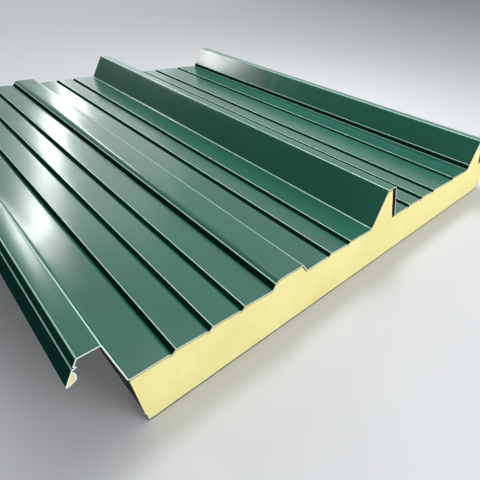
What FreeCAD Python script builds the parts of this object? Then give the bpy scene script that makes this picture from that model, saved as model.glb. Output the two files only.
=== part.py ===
"""Insulated sandwich roof panel: a ribbed outer sheet, a foam core and a flat liner.

X runs across the panel, from the overlap rib to the underlap rib, Y runs along it and
Z is up.  The origin is the middle of the panel's box, at the level that it lies on.
"""
import FreeCAD, Part
import math
import os

# Driving dimensions, mm
LENGTH = 600.0           # along the ribs
DEPTH = 50.0             # underside of the liner to the top of the flats
OUTER_T = 0.8            # outer sheet
LINER_T = 0.6            # liner sheet

RIB_HEIGHT = 39.0        # above the flats
RIB_CROWN = 14.0         # flat top of a rib
RIB_WEB_RUN = 16.0       # sideways run of each sloping web
RIB_BEND = 2.2           # outer bend radius on ribs and on the raised band

LEFT_PAN = 267.0         # overlap rib foot to centre rib foot
RIGHT_PAN = 196.0        # centre rib foot to underlap rib foot
FLAT_PITCH = 30.4        # spacing of the shallow grooves
GROOVES_TO_BAND = 3      # grooves between the overlap rib and the raised band
GROOVES_PAST_BAND = 2    # between the band and the centre rib
GROOVES_RIGHT = 3        # right of the centre rib, before the broad flat
GROOVE_FALL = 2.8        # run of a groove's gentle side
GROOVE_RISE = 3.0        # run of its steep side
GROOVE_DEPTH = 1.8
GROOVE_CREST = 1.2       # the next flat starts this much higher
FINE_BEND = 0.9          # outer bend radius on the grooves

BAND_START = 124.0       # foot of the raised band, from the overlap rib foot
BAND_WIDTH = 38.0
BAND_HEIGHT = 7.6
BAND_RISE_RUN = 4.5
BAND_DROP_RUN = 7.5
WIDE_FLAT = 56.0         # the one broad flat, with one more groove past it

LIP_HEIGHT = 17.0        # free web of the overlap rib, below its crown
LIP_LEAN = 6.4           # and how far it leans out
HEM_WIDTH = 4.8          # the hem folded back inside the lip
HEM_HEIGHT = 8.6
HEM_BELLY_TOP = 5.4      # the hem bulges inwards between these heights over its tip
HEM_BELLY_FOOT = 2.2
HEM_SAG = 0.4            # and its underside hangs this far below the tip
PLEAT_DROP = 6.0         # stiffening pleat, its middle below the crown
PLEAT_REACH = 2.2
PLEAT_HEIGHT = 3.6       # at the web
PLEAT_NOSE = 1.2         # at its free edge
FOLD_CLEAR = 0.3         # the hem's cut edge stops this short of the web

FLANGE = 7.0             # outer sheet past the underlap rib
WEB_GAP = 6.0            # foam stands back from the right-hand webs
STEP_GAP = 2.0           # and from the drop of the raised band

SIDE_SLANT = 14.5        # foam side under the overlap rib, inwards over the depth
LINER_TURN = 8.0         # turned-up left edge of the liner
LINER_CHAMFER = 6.0      # corner of the liner's right edge
LINER_UPSTAND = 14.0     # height of that edge
LINER_BEND = 1.4
TONGUE_REACH = 9.0       # rounded foam tongue past the liner's edge
TONGUE_HEIGHT = 27.0     # height of its nose
LINER_PAST_FLANGE = 18.0  # liner's right edge past the end of the outer sheet

CROWN_Z = DEPTH + RIB_HEIGHT
LEFT_FOOT = RIB_WEB_RUN                     # x = 0 is the right edge of the overlap crown
BAND_END = LEFT_FOOT + BAND_START + BAND_RISE_RUN + BAND_WIDTH
CENTRE_FOOT = LEFT_FOOT + LEFT_PAN
CENTRE_END = CENTRE_FOOT + 2 * RIB_WEB_RUN + RIB_CROWN
RIGHT_FOOT = CENTRE_END + RIGHT_PAN
RIGHT_END = RIGHT_FOOT + 2 * RIB_WEB_RUN + RIB_CROWN
SHEET_END = RIGHT_END + FLANGE
LINER_END = SHEET_END + LINER_PAST_FLANGE


# ---- outlines in the X-Z plane ------------------------------------------------------
def offset(corners, distance):
    """The open path moved to its right-hand side by distance, corners kept sharp."""
    moved = []
    for i, (x, z) in enumerate(corners):
        normals = []
        for a, b in ((i - 1, i), (i, i + 1)):
            if a >= 0 and b < len(corners):
                dx = corners[b][0] - corners[a][0]
                dz = corners[b][1] - corners[a][1]
                run = math.hypot(dx, dz)
                normals.append((dz / run, -dx / run))
        first, last = normals[0], normals[-1]
        share = distance / (1 + first[0] * last[0] + first[1] * last[1])
        moved.append((x + share * (first[0] + last[0]), z + share * (first[1] + last[1])))
    return moved


def turn(a, b, c):
    """Angle that the path turns by at b, positive to the left."""
    way_in = math.atan2(b[1] - a[1], b[0] - a[0])
    way_out = math.atan2(c[1] - b[1], c[0] - b[0])
    return (way_out - way_in + math.pi) % (2 * math.pi) - math.pi


def towards(a, b, distance):
    run = math.hypot(b[0] - a[0], b[1] - a[1])
    return (a[0] + (b[0] - a[0]) * distance / run, a[1] + (b[1] - a[1]) * distance / run)


def point(xz):
    return FreeCAD.Vector(xz[0], 0, xz[1])


def line(a, b):
    return Part.LineSegment(point(a), point(b)).toShape()


def rounded_path(corners, radii):
    """Straight runs joined by tangent arcs; a radius of 0 leaves the corner sharp."""
    edges = []
    start = corners[0]
    for i in range(1, len(corners) - 1):
        before, corner, after = corners[i - 1], corners[i], corners[i + 1]
        angle = abs(turn(before, corner, after))
        if radii[i] <= 0 or angle < 1e-6:
            edges.append(line(start, corner))
            start = corner
            continue
        cut = radii[i] * math.tan(angle / 2)
        first = towards(corner, before, cut)
        last = towards(corner, after, cut)
        centre = towards(corner, ((first[0] + last[0]) / 2, (first[1] + last[1]) / 2),
                         radii[i] / math.cos(angle / 2))
        middle = towards(centre, corner, radii[i])
        edges.append(line(start, first))
        edges.append(Part.Arc(point(first), point(middle), point(last)).toShape())
        start = last
    edges.append(line(start, corners[-1]))
    return edges


def strip(corners, radii, thickness):
    """Cross-section of a bent sheet. corners run along its outer face, which lies to the
    left; radii are those of the outer face, and the inner face follows concentrically."""
    inner = offset(corners, thickness)
    inner_radii = []
    for i, radius in enumerate(radii):
        if radius > 0 and 0 < i < len(corners) - 1:
            grows = turn(corners[i - 1], corners[i], corners[i + 1]) > 0
            radius = radius + thickness if grows else max(radius - thickness, 0.0)
        inner_radii.append(radius)
    edges = rounded_path(corners, radii)
    edges.append(line(corners[-1], inner[-1]))
    edges += rounded_path(inner[::-1], inner_radii[::-1])
    edges.append(line(inner[0], corners[0]))
    return Part.Face(Part.Wire(edges))


def polygon(corners):
    closed = [point(c) for c in corners + corners[:1]]
    return Part.Face(Part.makePolygon(closed))


# ---- the outer sheet's path, each stretch a list of (x, z, bend radius) -----------------
def rib(foot):
    """A trapezoidal rib from its left foot to its right foot."""
    crown = foot + RIB_WEB_RUN
    return [(foot, DEPTH, RIB_BEND),
            (crown, CROWN_Z, RIB_BEND),
            (crown + RIB_CROWN, CROWN_Z, RIB_BEND),
            (crown + RIB_CROWN + RIB_WEB_RUN, DEPTH, RIB_BEND)]


def groove(x):
    """A shallow V with a gentle left side and a steep right side."""
    return [(x - GROOVE_FALL, DEPTH, FINE_BEND),
            (x, DEPTH - GROOVE_DEPTH, FINE_BEND),
            (x + GROOVE_RISE, DEPTH + GROOVE_CREST, FINE_BEND)]


def grooves(foot, count):
    """A row of grooves, the first one flat past the foot."""
    row = []
    for i in range(count):
        row += groove(foot + (i + 1) * FLAT_PITCH)
    return row


def raised_band():
    """A broad step up with a steep left side; its drop ends a little below the flats."""
    start = BAND_END - BAND_WIDTH - BAND_RISE_RUN
    top = DEPTH + BAND_HEIGHT
    return [(start, DEPTH, FINE_BEND),
            (start + BAND_RISE_RUN, top, RIB_BEND),
            (BAND_END - BAND_DROP_RUN, top, RIB_BEND),
            (BAND_END, DEPTH - GROOVE_DEPTH / 2, FINE_BEND)]


def lip():
    """Hem, free web and crown of the overlap rib, from the hem's cut edge to the right."""
    crown = -RIB_CROWN
    tip_z = CROWN_Z - LIP_HEIGHT
    tip = crown - LIP_LEAN
    slope = LIP_LEAN / LIP_HEIGHT
    fold_z = tip_z + HEM_HEIGHT
    fold = tip + HEM_HEIGHT * slope + OUTER_T * math.hypot(1, slope) + FOLD_CLEAR
    belly = tip + HEM_WIDTH + slope * HEM_HEIGHT / 2
    return [(fold + OUTER_T, fold_z, 0),
            (belly, tip_z + HEM_BELLY_TOP, FINE_BEND),
            (belly, tip_z + HEM_BELLY_FOOT, FINE_BEND),
            (tip + HEM_WIDTH / 2, tip_z - HEM_SAG, FINE_BEND),
            (tip, tip_z, FINE_BEND),
            (crown, CROWN_Z, RIB_BEND),
            (0.0, CROWN_Z, RIB_BEND),
            (LEFT_FOOT, DEPTH, RIB_BEND)]


def pans():
    """Everything right of the overlap rib."""
    path = []
    path += grooves(LEFT_FOOT, GROOVES_TO_BAND)
    path += raised_band()
    path += grooves(BAND_END, GROOVES_PAST_BAND)
    path += rib(CENTRE_FOOT)
    path += grooves(CENTRE_END, GROOVES_RIGHT)
    path += groove(CENTRE_END + GROOVES_RIGHT * FLAT_PITCH + WIDE_FLAT)
    path += rib(RIGHT_FOOT)
    path.append((SHEET_END, DEPTH, 0))
    return path


# ---- cross-sections of the pieces ----------------------------------------------------
def top_sheet_section():
    path = lip() + pans()
    sheet = strip([(x, z) for x, z, r in path], [r for x, z, r in path], OUTER_T)
    return sheet.fuse(pleat()).removeSplitter()


def pleat():
    """The small fold on the inside of the free web, a closed nub in section."""
    slope = LIP_LEAN / LIP_HEIGHT
    middle = CROWN_Z - PLEAT_DROP
    web = -RIB_CROWN - slope * PLEAT_DROP + OUTER_T / 2
    nose = web + OUTER_T / 2 + PLEAT_REACH
    half = PLEAT_HEIGHT / 2
    return polygon([(web + slope * half, middle + half),
                    (nose, middle + PLEAT_NOSE / 2),
                    (nose, middle - PLEAT_NOSE / 2),
                    (web - slope * half, middle - half)])


def side_x(z):
    """The panel's left side at height z, slanting in towards the liner."""
    return LEFT_FOOT + SIDE_SLANT * (1 - z / DEPTH)


def liner_path():
    return [(LINER_END, LINER_UPSTAND, 0),
            (LINER_END, LINER_CHAMFER, LINER_BEND),
            (LINER_END - LINER_CHAMFER, 0.0, LINER_BEND),
            (side_x(0), 0.0, LINER_BEND),
            (side_x(LINER_TURN), LINER_TURN, 0)]


def liner_section():
    """Corners run along the underside, which is the outer face, from right to left."""
    path = liner_path()
    return strip([(x, z) for x, z, r in path], [r for x, z, r in path], LINER_T)


def core_section(sheet, liner):
    """Foam between the sheets. It stands back from the webs that face right, and its
    right side is a rounded tongue past the liner's edge."""
    path = pans()
    under_sheet = offset([(x, z) for x, z, r in path], OUTER_T / 2)
    shoulder = DEPTH - OUTER_T / 2
    top = [(side_x(shoulder), shoulder)] + under_sheet + [(SHEET_END, DEPTH - OUTER_T)]
    bottom = [(LINER_END, LINER_UPSTAND),
              (LINER_END, LINER_CHAMFER),
              (LINER_END - LINER_CHAMFER, 0.0),
              (side_x(0), 0.0)]
    nose = (LINER_END + TONGUE_REACH, TONGUE_HEIGHT)
    edges = [line(a, b) for a, b in zip(top, top[1:])]
    edges.append(Part.Arc(point(top[-1]), point(nose), point(bottom[0])).toShape())
    edges += [line(a, b) for a, b in zip(bottom, bottom[1:] + top[:1])]
    body = Part.Face(Part.Wire(edges))
    for gap in (web_gap(CENTRE_END, WEB_GAP), web_gap(RIGHT_END, WEB_GAP), band_gap()):
        body = body.cut(gap)
    body = body.cut(sheet).cut(liner)
    return max(body.Faces, key=lambda face: face.Area)


def web_gap(foot, width):
    """Clear strip behind the right-hand web of a rib."""
    crown = foot - RIB_WEB_RUN
    return polygon([(crown - width, CROWN_Z), (crown, CROWN_Z),
                    (foot, DEPTH - OUTER_T), (foot - width, DEPTH - OUTER_T)])


def band_gap():
    """Clear strip behind the drop of the raised band."""
    drop = BAND_END - BAND_DROP_RUN
    top = DEPTH + BAND_HEIGHT
    return polygon([(drop - STEP_GAP, top), (drop, top),
                    (BAND_END, DEPTH - OUTER_T), (BAND_END - STEP_GAP, DEPTH - OUTER_T)])


def hem_seal_section(sheet):
    """Foam strip that fills the hem of the overlap lip."""
    hem = lip()[:5]
    inside = offset([(x, z) for x, z, r in hem], OUTER_T / 2)
    slope = LIP_LEAN / LIP_HEIGHT
    web_top = (inside[-1][0] + slope * HEM_HEIGHT, inside[0][1])
    strip_face = polygon(inside + [web_top]).cut(sheet)
    return max(strip_face.Faces, key=lambda face: face.Area)


def main():
    os.makedirs("parts", exist_ok=True)
    sheet = top_sheet_section()
    liner = liner_section()
    sections = {
        "top_sheet": sheet,
        "foam_core": core_section(sheet, liner),
        "liner_sheet": liner,
        "hem_seal": hem_seal_section(sheet),
    }
    left = min(face.BoundBox.XMin for face in sections.values())
    right = max(face.BoundBox.XMax for face in sections.values())
    to_origin = FreeCAD.Vector(-(left + right) / 2, -LENGTH / 2, 0)
    for name, face in sections.items():
        solid = face.extrude(FreeCAD.Vector(0, LENGTH, 0))
        solid = solid.Solids[0] if solid.Solids else solid
        solid.translate(to_origin)
        solid.exportStep(f"parts/{name}.step")
        box = solid.BoundBox
        print(f"{name}: valid {solid.isValid()}, volume {solid.Volume / 1000:.1f} cm3, "
              f"x {box.XMin:.1f} {box.XMax:.1f}, z {box.ZMin:.1f} {box.ZMax:.1f}")


main()
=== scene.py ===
"""Insulated sandwich roof panel in its finishes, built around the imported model.

Sizes of the panel's own section are in millimetres; meshes, lamps and camera are in
metres, in the row frame: X across the ribs, Y along them, Z up.
"""
import math

import bpy
import numpy as np
from mathutils import Matrix, Vector


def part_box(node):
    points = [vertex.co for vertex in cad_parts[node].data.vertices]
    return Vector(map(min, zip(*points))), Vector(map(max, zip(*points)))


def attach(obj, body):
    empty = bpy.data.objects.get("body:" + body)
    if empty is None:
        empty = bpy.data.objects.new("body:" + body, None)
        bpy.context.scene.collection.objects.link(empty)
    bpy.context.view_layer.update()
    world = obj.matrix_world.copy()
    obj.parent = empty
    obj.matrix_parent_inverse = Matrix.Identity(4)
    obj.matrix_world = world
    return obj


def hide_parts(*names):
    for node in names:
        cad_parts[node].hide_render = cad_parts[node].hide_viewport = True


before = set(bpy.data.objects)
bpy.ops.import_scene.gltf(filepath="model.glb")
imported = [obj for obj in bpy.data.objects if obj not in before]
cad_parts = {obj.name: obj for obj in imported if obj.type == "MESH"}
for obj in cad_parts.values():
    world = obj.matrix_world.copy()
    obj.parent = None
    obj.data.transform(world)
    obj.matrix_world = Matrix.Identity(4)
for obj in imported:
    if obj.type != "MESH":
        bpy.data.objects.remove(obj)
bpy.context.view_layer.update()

# ---- Outer sheet -----------------------------------------------------------------------
# The weather side: one strip of zinc-coated steel with a glossy green coil coating on
# its face and a dark coat behind.  Rolls bend it into the hem and lip, the hollow overlap
# rib, the grooved pans with a raised band, and the two filled ribs.
sheet_t = 0.8
pan_level = 50.0
rib_height, rib_crown, web_run, rib_bend = 39.0, 14.0, 16.0, 2.2
crown_level = pan_level + rib_height
left_pan, right_pan, flange = 267.0, 196.0, 7.0
flat_pitch, wide_flat = 30.4, 56.0
groove_fall, groove_rise, groove_depth, groove_crest, fine_bend = 2.8, 3.0, 1.8, 1.2, 0.9
band_start, band_width, band_height = 124.0, 38.0, 7.6
band_rise_run, band_drop_run = 4.5, 7.5
break_height, break_run, break_bend = 5.0, 2.6, 2.6   # the band's rise eases near its top
band_shoulder, shoulder_bend = 6.2, 9.0
lip_height, lip_lean = 17.0, 6.4
hem_width, hem_height, hem_belly_top, hem_belly_foot = 4.8, 8.6, 5.4, 2.2
hem_sag, fold_clear = 0.4, 0.3
pleat_drop, pleat_gap, pleat_depth, pleat_nose = 6.0, 0.5, 2.7, 0.1
kick_height, kick_run, kick_bend = 6.6, 2.2, 15.0     # steeper foot of the last rib's web
flat_buckle = 0.05                                    # how far a flat waves in and out
wave_rates = ((21, 1.7), (34, 2.9))                   # radians a metre, and shift a run
line_width, line_share = 1.1, 0.9                     # a bend's pale line; most of its arc
sheet_rows = 49                                       # sections along the panel
metre = 1000.0                                        # mm

left_foot = web_run
band_end = left_foot + band_start + band_rise_run + band_width
centre_foot = left_foot + left_pan
centre_end = centre_foot + 2 * web_run + rib_crown
right_foot = centre_end + right_pan
right_end = right_foot + 2 * web_run + rib_crown
sheet_end = right_end + flange
band_top = pan_level + band_height

# Painted light along the section: how strong the painted highlight line is at a bend, and
# whether the run after a corner is open, or painted shade on the free web or a groove side.
CRISP, SOFT, FAINT, NONE = 1.0, 0.7, 0.45, 0.0
OPEN, FREE_WEB, SHADED = 0.0, 1.0, 2.0


def rib_corners(foot):
    """Four bends of a trapezoidal rib: left foot, both crown edges, right foot."""
    crown = foot + web_run
    return [(foot, pan_level, rib_bend, CRISP, OPEN),
            (crown, crown_level, rib_bend, CRISP, OPEN),
            (crown + rib_crown, crown_level, rib_bend, CRISP, OPEN),
            (foot + 2 * web_run + rib_crown, pan_level, rib_bend, FAINT, OPEN)]


def groove_corners(foot, count):
    """Shallow V grooves a flat apart: a gentle fall, then a steep rise in painted shade."""
    row = []
    for x in foot + flat_pitch * np.arange(1, count + 1):
        row += [(x - groove_fall, pan_level, fine_bend, NONE, OPEN),
                (x, pan_level - groove_depth, fine_bend, NONE, SHADED),
                (x + groove_rise, pan_level + groove_crest, fine_bend, CRISP, OPEN)]
    return row


def lip_corners():
    """Hem, free web with its pleat, and crown of the overlap rib, from the cut edge on."""
    slope = lip_lean / lip_height
    tip, tip_z = -rib_crown - lip_lean, crown_level - lip_height
    belly = tip + hem_width + slope * hem_height / 2
    fold = tip + hem_height * slope + sheet_t * math.hypot(1, slope) + fold_clear
    pleat_z = crown_level - pleat_drop
    pleat_x = -rib_crown - slope * pleat_drop
    half = pleat_gap / 2
    return [(fold + sheet_t, tip_z + hem_height, 0, NONE, FREE_WEB),
            (belly, tip_z + hem_belly_top, fine_bend, NONE, FREE_WEB),
            (belly, tip_z + hem_belly_foot, fine_bend, NONE, FREE_WEB),
            (tip + hem_width / 2, tip_z - hem_sag, fine_bend, NONE, FREE_WEB),
            (tip, tip_z, fine_bend, FAINT, FREE_WEB),
            (pleat_x - slope * half, pleat_z - half, fine_bend, SOFT, FREE_WEB),
            (pleat_x + pleat_depth, pleat_z, pleat_nose, NONE, FREE_WEB),
            (pleat_x + slope * half, pleat_z + half, fine_bend, NONE, FREE_WEB),
            (-rib_crown, crown_level, rib_bend, SOFT, OPEN),
            (0.0, crown_level, rib_bend, CRISP, OPEN),
            (left_foot, pan_level, rib_bend, NONE, OPEN)]


def band_corners():
    """Raised band: a steep rise in painted shade, its top, and a drop to just under the
    flats.
    """
    start = band_end - band_width - band_rise_run
    return [(start, pan_level, fine_bend, NONE, SHADED),
            (start + break_run, pan_level + break_height, break_bend, CRISP, OPEN),
            (start + band_shoulder, band_top, shoulder_bend, NONE, OPEN),
            (band_end - band_drop_run, band_top, rib_bend, CRISP, OPEN),
            (band_end, pan_level - groove_depth / 2, fine_bend, NONE, OPEN)]


def kicked_rib_corners(foot):
    """The underlap rib: as the others, but the foot of its left web is steeper, in painted
    shade.
    """
    kick = (foot + kick_run, pan_level + kick_height, kick_bend, CRISP, OPEN)
    return [(foot, pan_level, fine_bend, FAINT, SHADED), kick] + rib_corners(foot)[1:]


def bent_strip(corners, thickness, steps=8, span=6.0):
    """Section of a bent strip.  Each inner corner becomes an arc that touches both its
    runs: centre + radius * normal, the normal turning evenly from one run's to the next's.
    Runs are then cut into equal pieces of at most span.  The back face is the front face
    moved along the normal by the thickness.  Returns one row a point: x, z of the face,
    x, z of the back, painted highlight, painted shade, how free the point is to buckle,
    from 0 at a bend to 1 halfway along a run of over three spans, and the number of its
    run."""
    x, z, radius, light, shade = np.array(corners, float).T
    heading = np.arctan2(np.diff(z), np.diff(x))
    swing = (np.diff(heading) + np.pi) % (2 * np.pi) - np.pi
    side, r = np.sign(swing)[:, None], radius[1:-1, None]
    share = np.linspace(0, 1, steps + 1)
    way_in, angle = heading[:-1, None], heading[:-1, None] + swing[:, None] * share
    cut = r * np.tan(np.abs(swing[:, None]) / 2)
    lit = np.minimum(line_width / (r * np.abs(swing[:, None])), line_share)
    centre_x = x[1:-1, None] - cut * np.cos(way_in) - side * r * np.sin(way_in)
    centre_z = z[1:-1, None] - cut * np.sin(way_in) + side * r * np.cos(way_in)
    arcs = np.stack((centre_x + side * r * np.sin(angle),
                     centre_z - side * r * np.cos(angle),
                     -np.sin(angle), np.cos(angle),
                     light[1:-1, None] * (np.abs(share - 0.5) < lit / 2),
                     shade[:-2, None] * (1 - share) + shade[1:-1, None] * share), axis=2)
    tips = [[x[i], z[i], -np.sin(heading[i]), np.cos(heading[i]), 0, shade[run]]
            for i, run in ((0, 0), (-1, -2))]
    rows = np.vstack((tips[0], arcs.reshape(-1, 6), tips[1]))

    length = np.hypot(*np.diff(rows[:, :2], axis=0).T)
    pieces = np.maximum(1, np.ceil(length / span)).astype(int)
    first = np.repeat(np.arange(len(length)), pieces)
    before = np.repeat(np.cumsum(pieces) - pieces, pieces)
    part = (np.arange(len(first)) - before) / pieces[first]
    middle = rows[first] + part[:, None] * (rows[first + 1] - rows[first])
    rows = np.vstack((middle, rows[-1:]))
    face, normal = rows[:, :2], rows[:, 2:4]
    free = np.append(np.sin(np.pi * part) ** 2 * (length[first] > 3 * span), 0)
    run_number = np.append(first, len(length))
    return np.hstack((face, face - thickness * normal, rows[:, 4:], free[:, None],
                      run_number[:, None]))


def mesh_piece(name, points, quads, finishes, finish_of, sharp=40):
    """Object at the origin from points in metres, four-cornered faces and the number of
    each face's finish; edges that turn by more than sharp degrees stay sharp."""
    mesh = bpy.data.meshes.new(name)
    mesh.from_pydata(points, [], quads)
    for finish in finishes:
        mesh.materials.append(finish)
    mesh.polygons.foreach_set("material_index", finish_of)
    mesh.polygons.foreach_set("use_smooth", np.ones(len(quads), bool))
    mesh.set_sharp_from_angle(angle=math.radians(sharp))
    piece = bpy.data.objects.new(name, mesh)
    bpy.context.scene.collection.objects.link(piece)
    return piece


FACE, BACK, CUT = 0, 1, 2       # places in a list of finishes, before the two of painted shade


def rolled_piece(name, strip, shift, along, buckle, finishes):
    """Carries the section of a bent strip along the panel: a point's place is its section
    point, moved out by buckle * free * a slow wave of y, at every y in along.  The finishes
    are those of the face, the back, the cut edges, and the painted shade of the free web
    and of the shaded sides."""
    free, run_number = strip[:, 6:7], strip[:, 7:8]
    wave = sum(np.sin(along * rate + run_number * lag) for rate, lag in wave_rates) / 2
    outward = strip[:, 0:2] - strip[:, 2:4]
    normal = outward / np.hypot(*outward.T)[:, None]
    out = buckle * free * wave
    rings = []
    for column in (0, 2):
        ring = np.empty((len(strip), len(along), 3))
        ring[..., 0] = strip[:, column, None] + out * normal[:, 0:1] + shift
        ring[..., 1] = along * metre
        ring[..., 2] = strip[:, column + 1, None] + out * normal[:, 1:2]
        rings.append(ring)
    loop = np.concatenate((rings[0], rings[1][::-1])) / metre    # face, then back
    count, rows = loop.shape[:2]
    half = count // 2
    number = np.arange(count * rows).reshape(count, rows)
    here, after = number, np.roll(number, -1, axis=0)
    sides = np.stack((here[:, :-1], after[:, :-1], after[:, 1:], here[:, 1:]), axis=2)
    place = np.arange(count)
    shade = np.rint((strip[:, 5] + np.roll(strip[:, 5], -1)) / 2).astype(int)[place % half]
    finish = np.where(place < half, np.where(shade > OPEN, CUT + shade, FACE), BACK)
    side_finish = np.repeat(np.where(place % half == half - 1, CUT, finish), rows - 1)
    face, back = number[:half], number[half:][::-1]
    near = np.stack((face[:-1, 0], back[:-1, 0], back[1:, 0], face[1:, 0]), axis=1)
    far = np.stack((face[:-1, -1], face[1:, -1], back[1:, -1], back[:-1, -1]), axis=1)
    quads = np.vstack((sides.reshape(-1, 4), near, far))
    finish_of = np.append(side_finish, np.full(2 * (half - 1), CUT))
    piece = mesh_piece(name, loop.reshape(-1, 3), quads, finishes, finish_of)
    # Strength of the painted highlight at each point, read by the coating.
    light = np.repeat(np.append(strip[:, 4], strip[::-1, 4]), rows)
    light_line = piece.data.attributes.new("light_line", "FLOAT", "POINT")
    light_line.data.foreach_set("value", light.astype(np.float32))
    return piece


def start_finish(name, roughness, specular=0.5):
    """New material with one Principled shader, and functions that add and join nodes."""
    material = bpy.data.materials.new(name)
    material.use_nodes = True
    tree = material.node_tree
    shader = tree.nodes["Principled BSDF"]
    shader.inputs["Roughness"].default_value = roughness
    shader.inputs["Specular IOR Level"].default_value = specular

    def add(kind, settings=(), **values):
        node = tree.nodes.new("ShaderNode" + kind)
        for key, value in dict(settings).items():
            setattr(node, key, value)
        for key, value in values.items():
            node.inputs[key.replace("_", " ")].default_value = value
        return node

    return material, shader, add, tree.links.new


def cloud(add, join, size, detail=2.0):
    """Noise over the piece's own coordinates, with blobs of about size metres."""
    place = add("TexCoord")
    noise = add("TexNoise", Scale=1 / size, Detail=detail, Roughness=0.55)
    join(place.outputs["Object"], noise.inputs["Vector"])
    return noise.outputs["Fac"]


def blend_colours(add, join, share, first, second):
    """Colour that goes from first to second with share; each is a colour or an output."""
    mix = add("Mix", {"data_type": "RGBA"})
    for socket, value in ((0, share), (6, first), (7, second)):  # factor, both colours
        if isinstance(value, bpy.types.NodeSocket):
            join(value, mix.inputs[socket])
        else:
            mix.inputs[socket].default_value = value
    return mix.outputs[2]


def spread(add, join, value, low, high):
    """Turns a 0.3 to 0.7 noise into a value from low to high."""
    ramp = add("MapRange", From_Min=0.3, From_Max=0.7, To_Min=low, To_Max=high)
    join(value, ramp.inputs["Value"])
    return ramp.outputs["Result"]


def two_shades(add, join, size, detail, first, second):
    """Colour that drifts between two shades, in clouds of about size metres."""
    share = spread(add, join, cloud(add, join, size, detail), 0, 1)
    return blend_colours(add, join, share, first, second)


def relief(add, join, shader, height, depth):
    """Bump of depth metres from a 0 to 1 height."""
    bump = add("Bump", Strength=1.0, Distance=depth)
    join(height, bump.inputs["Height"])
    join(bump.outputs["Normal"], shader.inputs["Normal"])


green_deep, green_bright = (0.017, 0.096, 0.066, 1), (0.021, 0.110, 0.077, 1)
# Painted shade: darker greens without gloss, for the free web and the steep groove sides.
free_web_shade_deep, free_web_shade_bright = (0.003, 0.026, 0.018, 1), (0.005, 0.034, 0.024, 1)
shaded_deep, shaded_bright = (0.0012, 0.011, 0.008, 1), (0.0020, 0.016, 0.011, 1)
highlight_paint = (0.45, 0.72, 0.61, 1)              # painted highlight: the pale line along a bend
primer_dark, primer_light = (0.006, 0.010, 0.009, 1), (0.014, 0.022, 0.019, 1)
cut_bright, cut_dull = (0.84, 0.95, 0.90, 1), (0.68, 0.80, 0.75, 1)


def green_coating(name, deep, bright, specular):
    """Glossy coil coating: even green that drifts slowly between two shades, with a pale
    painted highlight along the bends, and fine orange peel."""
    material, shader, add, join = start_finish(name, 0.2, specular)
    green = two_shades(add, join, 0.12, 2.0, deep, bright)
    light = add("Attribute", {"attribute_name": "light_line"})
    green = blend_colours(add, join, light.outputs["Fac"], green, highlight_paint)
    join(green, shader.inputs["Base Color"])
    gloss = spread(add, join, cloud(add, join, 0.03, 3.0), low=0.18, high=0.23)
    join(gloss, shader.inputs["Roughness"])
    relief(add, join, shader, cloud(add, join, 0.0022, 1.0), depth=0.00001)
    return material


def dark_back_coat():
    """Thin dark primer on the side that the foam sticks to."""
    material, shader, add, join = start_finish("dark_back_coat", 0.5, 0.3)
    primer = two_shades(add, join, 0.01, 4.0, primer_dark, primer_light)
    join(primer, shader.inputs["Base Color"])
    return material


def sheared_edge(name, pale, dull):
    """Bare cut of a steel sheet: bright where sheared, duller where it broke away."""
    material, shader, add, join = start_finish(name, 0.42)
    steel = two_shades(add, join, 0.0015, 3.0, pale, dull)
    join(steel, shader.inputs["Base Color"])
    relief(add, join, shader, cloud(add, join, 0.0006, 2.0), depth=0.00005)
    return material


sheet_low, sheet_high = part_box("top_sheet")
across = sheet_high.x * metre - sheet_end          # from the section to the row frame
ends = (sheet_low.y, sheet_high.y)
sheet_section = bent_strip(
    lip_corners() + groove_corners(left_foot, 3) + band_corners()
    + groove_corners(band_end, 2) + rib_corners(centre_foot) + groove_corners(centre_end, 3)
    + groove_corners(centre_end + 2 * flat_pitch + wide_flat, 1)
    + kicked_rib_corners(right_foot) + [(sheet_end, pan_level, 0, NONE, OPEN)], sheet_t)
outer_sheet = rolled_piece(
    "outer_sheet", sheet_section, across, np.linspace(*ends, sheet_rows), flat_buckle,
    [green_coating("green_coating", green_deep, green_bright, 0.5),
     dark_back_coat(),
     sheared_edge("cut_outer_edge", cut_bright, cut_dull),
     # The last two finishes are painted shade, on the free web and on the steep sides.
     green_coating("free_web_painted_shade", free_web_shade_deep, free_web_shade_bright, 0.0),
     green_coating("shaded_green_coating", shaded_deep, shaded_bright, 0.0)])
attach(outer_sheet, "root")
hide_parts("top_sheet")

# ---- Hem seal --------------------------------------------------------------------------
# Soft foam strip that the folded hem of the lip holds; it stops rain in the overlap.
# It is laid in before the hem is closed, and shows only at the cut ends.
seal_dark, seal_light = (0.66, 0.58, 0.26, 1), (0.80, 0.74, 0.42, 1)


def seal_foam():
    """Fine yellow foam, slightly greyed, with open cells at the cut."""
    material, shader, add, join = start_finish("yellow_seal_foam", 0.85, 0.2)
    foam = two_shades(add, join, 0.002, 4.0, seal_dark, seal_light)
    join(foam, shader.inputs["Base Color"])
    relief(add, join, shader, cloud(add, join, 0.0008, 2.0), depth=0.0002)
    return material


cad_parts["hem_seal"].data.materials[0] = seal_foam()

# ---- Liner sheet -----------------------------------------------------------------------
# The room side: thin steel with a pale grey coating below and the dark coat above, its
# left edge turned up beside the foam and its right edge chamfered and turned up.
liner_t, liner_bend = 0.6, 1.4
liner_end = sheet_end + 18.0
liner_turn, liner_chamfer, liner_upstand = 8.0, 6.0, 14.0
side_slant = 14.5
liner_rows = 13
liner_grey, liner_pale = (0.68, 0.69, 0.67, 1), (0.74, 0.75, 0.73, 1)
# The liner's cut edge is painted dark grey: painted shade, the floor's contact shadow along
# it.
liner_edge_shade, liner_edge_shade_dull = (0.10, 0.10, 0.095, 1), (0.05, 0.05, 0.048, 1)


def side_x(level):
    """The panel's left side at a height: it slants in towards the liner."""
    return left_foot + side_slant * (1 - level / pan_level)


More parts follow.
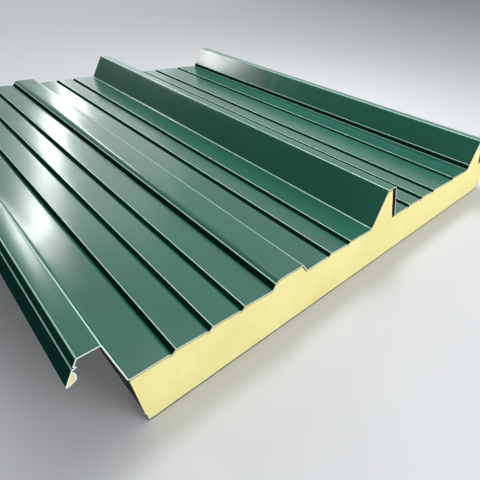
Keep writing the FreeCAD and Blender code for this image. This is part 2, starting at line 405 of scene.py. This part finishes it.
def liner_coating():
    """Satin pale grey polyester with a faint grain."""
    material, shader, add, join = start_finish("pale_liner_coating", 0.45)
    grey = two_shades(add, join, 0.08, 3.0, liner_grey, liner_pale)
    join(grey, shader.inputs["Base Color"])
    relief(add, join, shader, cloud(add, join, 0.0015, 1.0), depth=0.00002)
    return material


liner_section = bent_strip(
    [(liner_end, liner_upstand, 0, NONE, OPEN),
     (liner_end, liner_chamfer, liner_bend, NONE, OPEN),
     (liner_end - liner_chamfer, 0.0, liner_bend, NONE, OPEN),
     (side_x(0), 0.0, liner_bend, NONE, OPEN),
     (side_x(liner_turn), liner_turn, 0, NONE, OPEN)], liner_t)
liner = rolled_piece("liner", liner_section, across, np.linspace(*ends, liner_rows), 0.0,
                     [liner_coating(), dark_back_coat(),
                      sheared_edge("liner_edge_painted_shade", liner_edge_shade, liner_edge_shade_dull)])
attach(liner, "root")
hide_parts("liner_sheet")

# ---- Foam core -------------------------------------------------------------------------
# Rigid yellow foam, poured between the sheets so that it sticks to both and fills the
# centre and right ribs short of their right webs.  The ends are sawn; the left side is
# painted near black as painted shade, and the right side is a rounded tongue.
web_gap, step_gap = 6.0, 2.0
tongue_reach, tongue_height = 9.0, 27.0
foam_level = pan_level - sheet_t
column_step, crown_margin = 1.6, 1.0
tongue_points, tip_from, tip_to = 61, 25, 40  # points along its arc, and those of its end
saw_recess, saw_relief, saw_seeds = 0.12, 0.30, (3, 4)
wave_lengths = (40, 25, 14, 9, 6, 4.5, 3.4, 3)
sway, sway_rate, sway_x, sway_z = 1.3, 0.37, 0.21, 0.33
edge_shade_start, edge_shade_fade = 0.976, 0.006          # of the height, where the painted shade under the sheet begins
edge_shade_stop = 0.5                               # how far inside the sheet's edge it ends
foam_deep, foam_bright = (0.84, 0.76, 0.33, 1), (0.90, 0.83, 0.40, 1)
# Painted shade: a thin brown band on the sawn ends just under the outer sheet's edge.
cell_wall, foam_edge_shade = (0.74, 0.65, 0.25, 1), (0.30, 0.23, 0.08, 1)
# Painted shade: the foam's left side is near black.
side_shade_dark, side_shade_light = (0.004, 0.005, 0.005, 1), (0.010, 0.012, 0.011, 1)


def behind_web(x, top, crown, foot, level, gap):
    """Foam height left of a right-hand web: under a line gap to the web's left, but never
    under the foam level."""
    line = level - (x - (crown - gap)) * (level - foam_level) / (foot - crown)
    return np.where(x < foot, np.minimum(top, np.maximum(line, foam_level)), top)


def arc_through(a, b, c, count):
    """Points of the circle through three points: centre + radius * (cos, sin) of an angle
    that turns evenly from the first point to the last."""
    (ax, az), (bx, bz), (cx, cz) = a, b, c
    centre = np.linalg.solve([[bx - ax, bz - az], [cx - ax, cz - az]],
                             [(bx**2 - ax**2 + bz**2 - az**2) / 2,
                              (cx**2 - ax**2 + cz**2 - az**2) / 2])
    start = math.atan2(az - centre[1], ax - centre[0])
    stop = math.atan2(cz - centre[1], cx - centre[0])
    angle = np.linspace(start, stop, count)
    radius = math.hypot(ax - centre[0], az - centre[1])
    return centre + radius * np.stack((np.cos(angle), np.sin(angle)), axis=1)


def foam_edges():
    """Upper and lower outline of the foam's section from left to right, and the end of its
    tongue, which both run into.  The upper one is the back of the outer sheet, kept under
    a line left of each right-hand web and of the band's drop, and then the tongue's arc."""
    under = sheet_section[sheet_section[:, 2] > left_foot, 2:4]
    bends = [crown - web_gap for crown in (centre_end - web_run, right_end - web_run)]
    bends += [foot - web_gap for foot in (centre_end, right_end)]
    bends += [band_end - band_drop_run - step_gap, band_end - step_gap, band_end]
    bends += [side_x(foam_level), centre_end, right_end]
    corner_x = np.concatenate((under[:, 0], bends))
    even_x = np.arange(left_foot + 1, sheet_end, column_step)
    x = np.unique(np.concatenate((corner_x, even_x)).round(3))
    x = x[(x >= side_x(foam_level)) & (x <= sheet_end)]
    top = np.minimum(np.interp(x, under[:, 0], under[:, 1]), crown_level)
    top = np.where(x < left_foot + 2 * sheet_t, np.minimum(top, foam_level), top)
    for foot in (right_end, centre_end):
        top = np.where(x > foot - web_run - rib_crown - crown_margin,
                       behind_web(x, top, foot - web_run, foot, crown_level, web_gap), top)
    drop = band_end - band_drop_run
    top = np.where(x > band_end - band_width,
                   behind_web(x, top, drop, band_end, band_top, step_gap), top)
    tongue = arc_through((sheet_end, foam_level), (liner_end + tongue_reach, tongue_height),
                         (liner_end, liner_upstand), tongue_points)
    upper = np.vstack((np.stack((x, top), axis=1), tongue[1:tip_from + 1]))
    lower = np.array([(side_x(liner_t), liner_t),
                      (liner_end - liner_chamfer, liner_t),
                      (liner_end - liner_t, liner_chamfer),
                      (liner_end - liner_t, liner_upstand)])
    lower = np.vstack((lower, tongue[:tip_to:-1]))
    return upper, lower, tongue[tip_from:tip_to + 1][::-1]


def sawn_relief(x, z, seed):
    """How far a sawn foam face lies inside the cut, 0 to 1: a half and half the mean of
    sine waves of 3 to 40 mm in random directions, each swayed by a slower sine."""
    rng = np.random.default_rng(seed)
    total = np.zeros_like(x)
    for wave_length in wave_lengths:
        turn, shift = rng.uniform(0, 2 * np.pi, 2)
        phase = (x * np.cos(turn) + z * np.sin(turn)) * 2 * np.pi / wave_length + shift
        total += np.sin(phase + sway * np.sin(phase * sway_rate + x * sway_x - z * sway_z))
    return 0.5 + total / (2 * len(wave_lengths))


def rigid_foam():
    """Matte yellow rigid foam: soft cloudy shifts where it rose unevenly, fine cells, and
    a thin brown band of painted shade just under the outer sheet."""
    material, shader, add, join = start_finish("rigid_foam", 0.88, 0.15)
    yellow = two_shades(add, join, 0.035, 3.0, foam_deep, foam_bright)
    cells = spread(add, join, cloud(add, join, 0.0011, 3.0), low=0, high=0.35)
    yellow = blend_colours(add, join, cells, yellow, cell_wall)
    skin = add("Attribute", {"attribute_name": "skin"})
    yellow = blend_colours(add, join, skin.outputs["Fac"], yellow, foam_edge_shade)
    join(yellow, shader.inputs["Base Color"])
    relief(add, join, shader, cloud(add, join, 0.0012, 3.0), depth=0.0003)
    return material


def left_side_painted_shade():
    """Near black colour of the foam's left side, as painted shade."""
    material, shader, add, join = start_finish("left_side_painted_shade", 0.6, 0.2)
    facing = two_shades(add, join, 0.006, 4.0, side_shade_dark, side_shade_light)
    join(facing, shader.inputs["Base Color"])
    return material


def foam_piece(name, layers=26):
    """Two sawn ends, each a grid of lower + rise * (upper - lower), joined by the sides.
    Columns follow the upper outline in x and the lower one by its length."""
    upper, lower, tip = foam_edges()
    width = upper[-1, 0] - upper[0, 0]
    share = (upper[:, 0] - upper[0, 0]) / width
    run = np.append(0, np.cumsum(np.hypot(*np.diff(lower, axis=0).T)))
    lower = np.stack([np.interp(share, run / run[-1], lower[:, k]) for k in (0, 1)], axis=1)
    rise = np.append(np.linspace(0, edge_shade_start - edge_shade_fade, layers), (edge_shade_start, 1))
    grid = lower[:, None] + rise[None, :, None] * (upper - lower)[:, None]
    grid[-1] = np.stack([np.interp(rise, np.linspace(0, 1, len(tip)), tip[:, k])
                         for k in (0, 1)], axis=1)
    faces = []
    for end, inward, seed in zip(ends, (1, -1), saw_seeds):
        recess = saw_recess + saw_relief * sawn_relief(grid[..., 0], grid[..., 1], seed)
        y = end * metre + inward * recess
        faces.append(np.stack((grid[..., 0] + across, y, grid[..., 1]), axis=2))
    points = np.concatenate([f.reshape(-1, 3) for f in faces]) / metre
    columns, rows = grid.shape[:2]
    near = np.arange(columns * rows).reshape(columns, rows)
    cell = np.stack((near[:-1, :-1], near[1:, :-1], near[1:, 1:], near[:-1, 1:]), axis=2)
    cell = cell.reshape(-1, 4)
    loop = np.concatenate((near[:, -1], near[-1, -2::-1], near[-2::-1, 0], near[0, 1:-1]))
    after = np.roll(loop, -1)
    shift = columns * rows
    sides = np.stack((loop, after, after + shift, loop + shift), axis=1)
    left = np.isin(sides[:, 0], near[0]) & np.isin(sides[:, 1], near[0])
    quads = np.vstack((cell, (cell + shift)[:, ::-1], sides))
    finish_of = np.append(np.zeros(2 * len(cell), int), left.astype(int))
    piece = mesh_piece(name, points, quads, [rigid_foam(), left_side_painted_shade()], finish_of)
    skin = piece.data.attributes.new("skin", "FLOAT", "POINT")
    under_sheet = share < (sheet_end - edge_shade_stop - upper[0, 0]) / width
    edge_shade_rows = under_sheet[:, None] & (rise >= edge_shade_start)
    skin.data.foreach_set("value", np.tile(edge_shade_rows.ravel(), 2).astype(np.float32))
    return piece


core = foam_piece("core_foam")
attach(core, "root")
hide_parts("foam_core")

# ---- Floor -----------------------------------------------------------------------------
# A plain pale studio floor that the panel lies on: matt and even, so that it shows little
# more than the panel's soft shadow.
floor_half, floor_drop = 30.0, 0.0002
floor_grey = (0.55, 0.56, 0.58, 1)
floor_corners = [(x * floor_half, y * floor_half, -floor_drop)
                 for x, y in ((-1, -1), (1, -1), (1, 1), (-1, 1))]
floor_mesh = bpy.data.meshes.new("floor")
floor_mesh.from_pydata(floor_corners, [], [(0, 1, 2, 3)])
floor = bpy.data.objects.new("floor", floor_mesh)
bpy.context.scene.collection.objects.link(floor)
floor_paint, floor_shader = start_finish("pale_floor", 0.9, 0.1)[:2]
floor_shader.inputs["Base Color"].default_value = floor_grey
floor_mesh.materials.append(floor_paint)

# ---- Light -----------------------------------------------------------------------------
# A soft room, pale on the panel's right and dark on its left.  Behind it, two strips and a
# broad glow make the bright streak across the pans and one lamp lights the last rib's far
# end; lamps above and in front, and two fills that don't show in gloss, light the rest.
bright_side = (0.80, 0.35, 0.30)
cool_white = (0.96, 0.98, 1.0, 1)
fade_from, fade_to = -0.25, 0.85
dimmest, brightest = 0.04, 0.95
room = bpy.data.worlds.new("studio")
room.use_nodes = True
bpy.context.scene.world = room
room_nodes, room_join = room.node_tree.nodes, room.node_tree.links.new
direction = room_nodes.new("ShaderNodeTexCoord")
facing = room_nodes.new("ShaderNodeVectorMath")
facing.operation = "DOT_PRODUCT"
facing.inputs[1].default_value = bright_side
room_join(direction.outputs["Generated"], facing.inputs[0])
bright = room_nodes.new("ShaderNodeMapRange")
for socket, value in (("From Min", fade_from), ("From Max", fade_to),
                      ("To Min", dimmest), ("To Max", brightest)):
    bright.inputs[socket].default_value = value
room_join(facing.outputs["Value"], bright.inputs["Value"])
room_join(bright.outputs["Result"], room_nodes["Background"].inputs["Strength"])
room_nodes["Background"].inputs["Color"].default_value = cool_white


def soft_lamp(name, place, target, size, watts, lean=0, mirrored=True):
    """Flat rectangular lamp at place that faces target, turned by lean degrees in its own
    plane; size is (width, height).  One that isn't mirrored doesn't show in gloss."""
    lamp = bpy.data.lights.new(name, "AREA")
    lamp.shape = "RECTANGLE"
    lamp.size, lamp.size_y = size
    lamp.energy = watts
    holder = bpy.data.objects.new(name, lamp)
    bpy.context.scene.collection.objects.link(holder)
    holder.visible_glossy = mirrored
    aim = (Vector(target) - Vector(place)).to_track_quat("-Z", "Y").to_matrix().to_4x4()
    in_plane = Matrix.Rotation(math.radians(lean), 4, "Z")
    holder.matrix_world = Matrix.Translation(place) @ aim @ in_plane


soft_lamp("overhead_lamp", (0.5, 0.2, 2.2), (0.1, 0, 0), (1.6, 1.6), 10)
soft_lamp("right_pan_fill", (0.3, 0, 0.75), (0.15, 0, 0.05), (0.2, 0.6), 4, mirrored=False)
soft_lamp("low_strip", (1.38, 4.0, 1.92), (0, 0, 0.1), (0.2, 1.2), 11.5, lean=-2)
soft_lamp("high_strip", (1.0, 4.0, 2.9), (0, 0, 0.1), (0.26, 0.8), 20, lean=-14)
soft_lamp("strip_glow", (2.0, 3.8, 1.85), (0, 0, 0.1), (1.2, 2.2), 8)
soft_lamp("far_web_lamp", (-2.1, 3.27, 1.45), (0.28, 0.27, 0.07), (0.36, 0.6), 24)
soft_lamp("front_lamp", (0.4, -1.9, 0.9), (0, -0.2, 0), (1.4, 1.0), 26)
soft_lamp("left_fill", (-2.6, -0.6, 0.8), (0, 0, 0), (2.5, 1.4), 22, mirrored=False)

# ---- Camera ----------------------------------------------------------------------------
# Low over the near left corner, looking across the ribs to the far right and turned a
# little in its own plane, with a small shift that frames the sawn corner.
camera_place = (-0.3656, -0.4563, 0.2801)
yaw, pitch, roll = map(math.radians, (44.40, 23.35, 5.86))
forward = Vector((math.sin(yaw) * math.cos(pitch), math.cos(yaw) * math.cos(pitch),
                  -math.sin(pitch)))
level = Vector((math.cos(yaw), -math.sin(yaw), 0))
raised = level.cross(forward)
right = math.cos(roll) * level + math.sin(roll) * raised
up = -math.sin(roll) * level + math.cos(roll) * raised
lens = bpy.data.cameras.new("camera")
lens.sensor_width, lens.lens = 36.0, 32.27
lens.shift_x, lens.shift_y = 0.0167, -0.198
camera = bpy.data.objects.new("camera", lens)
facing_out = Matrix((right, up, -forward)).transposed().to_4x4()
camera.matrix_world = Matrix.Translation(camera_place) @ facing_out
bpy.context.scene.collection.objects.link(camera)
bpy.context.scene.camera = camera
bpy.context.scene.view_settings.view_transform = "Standard"
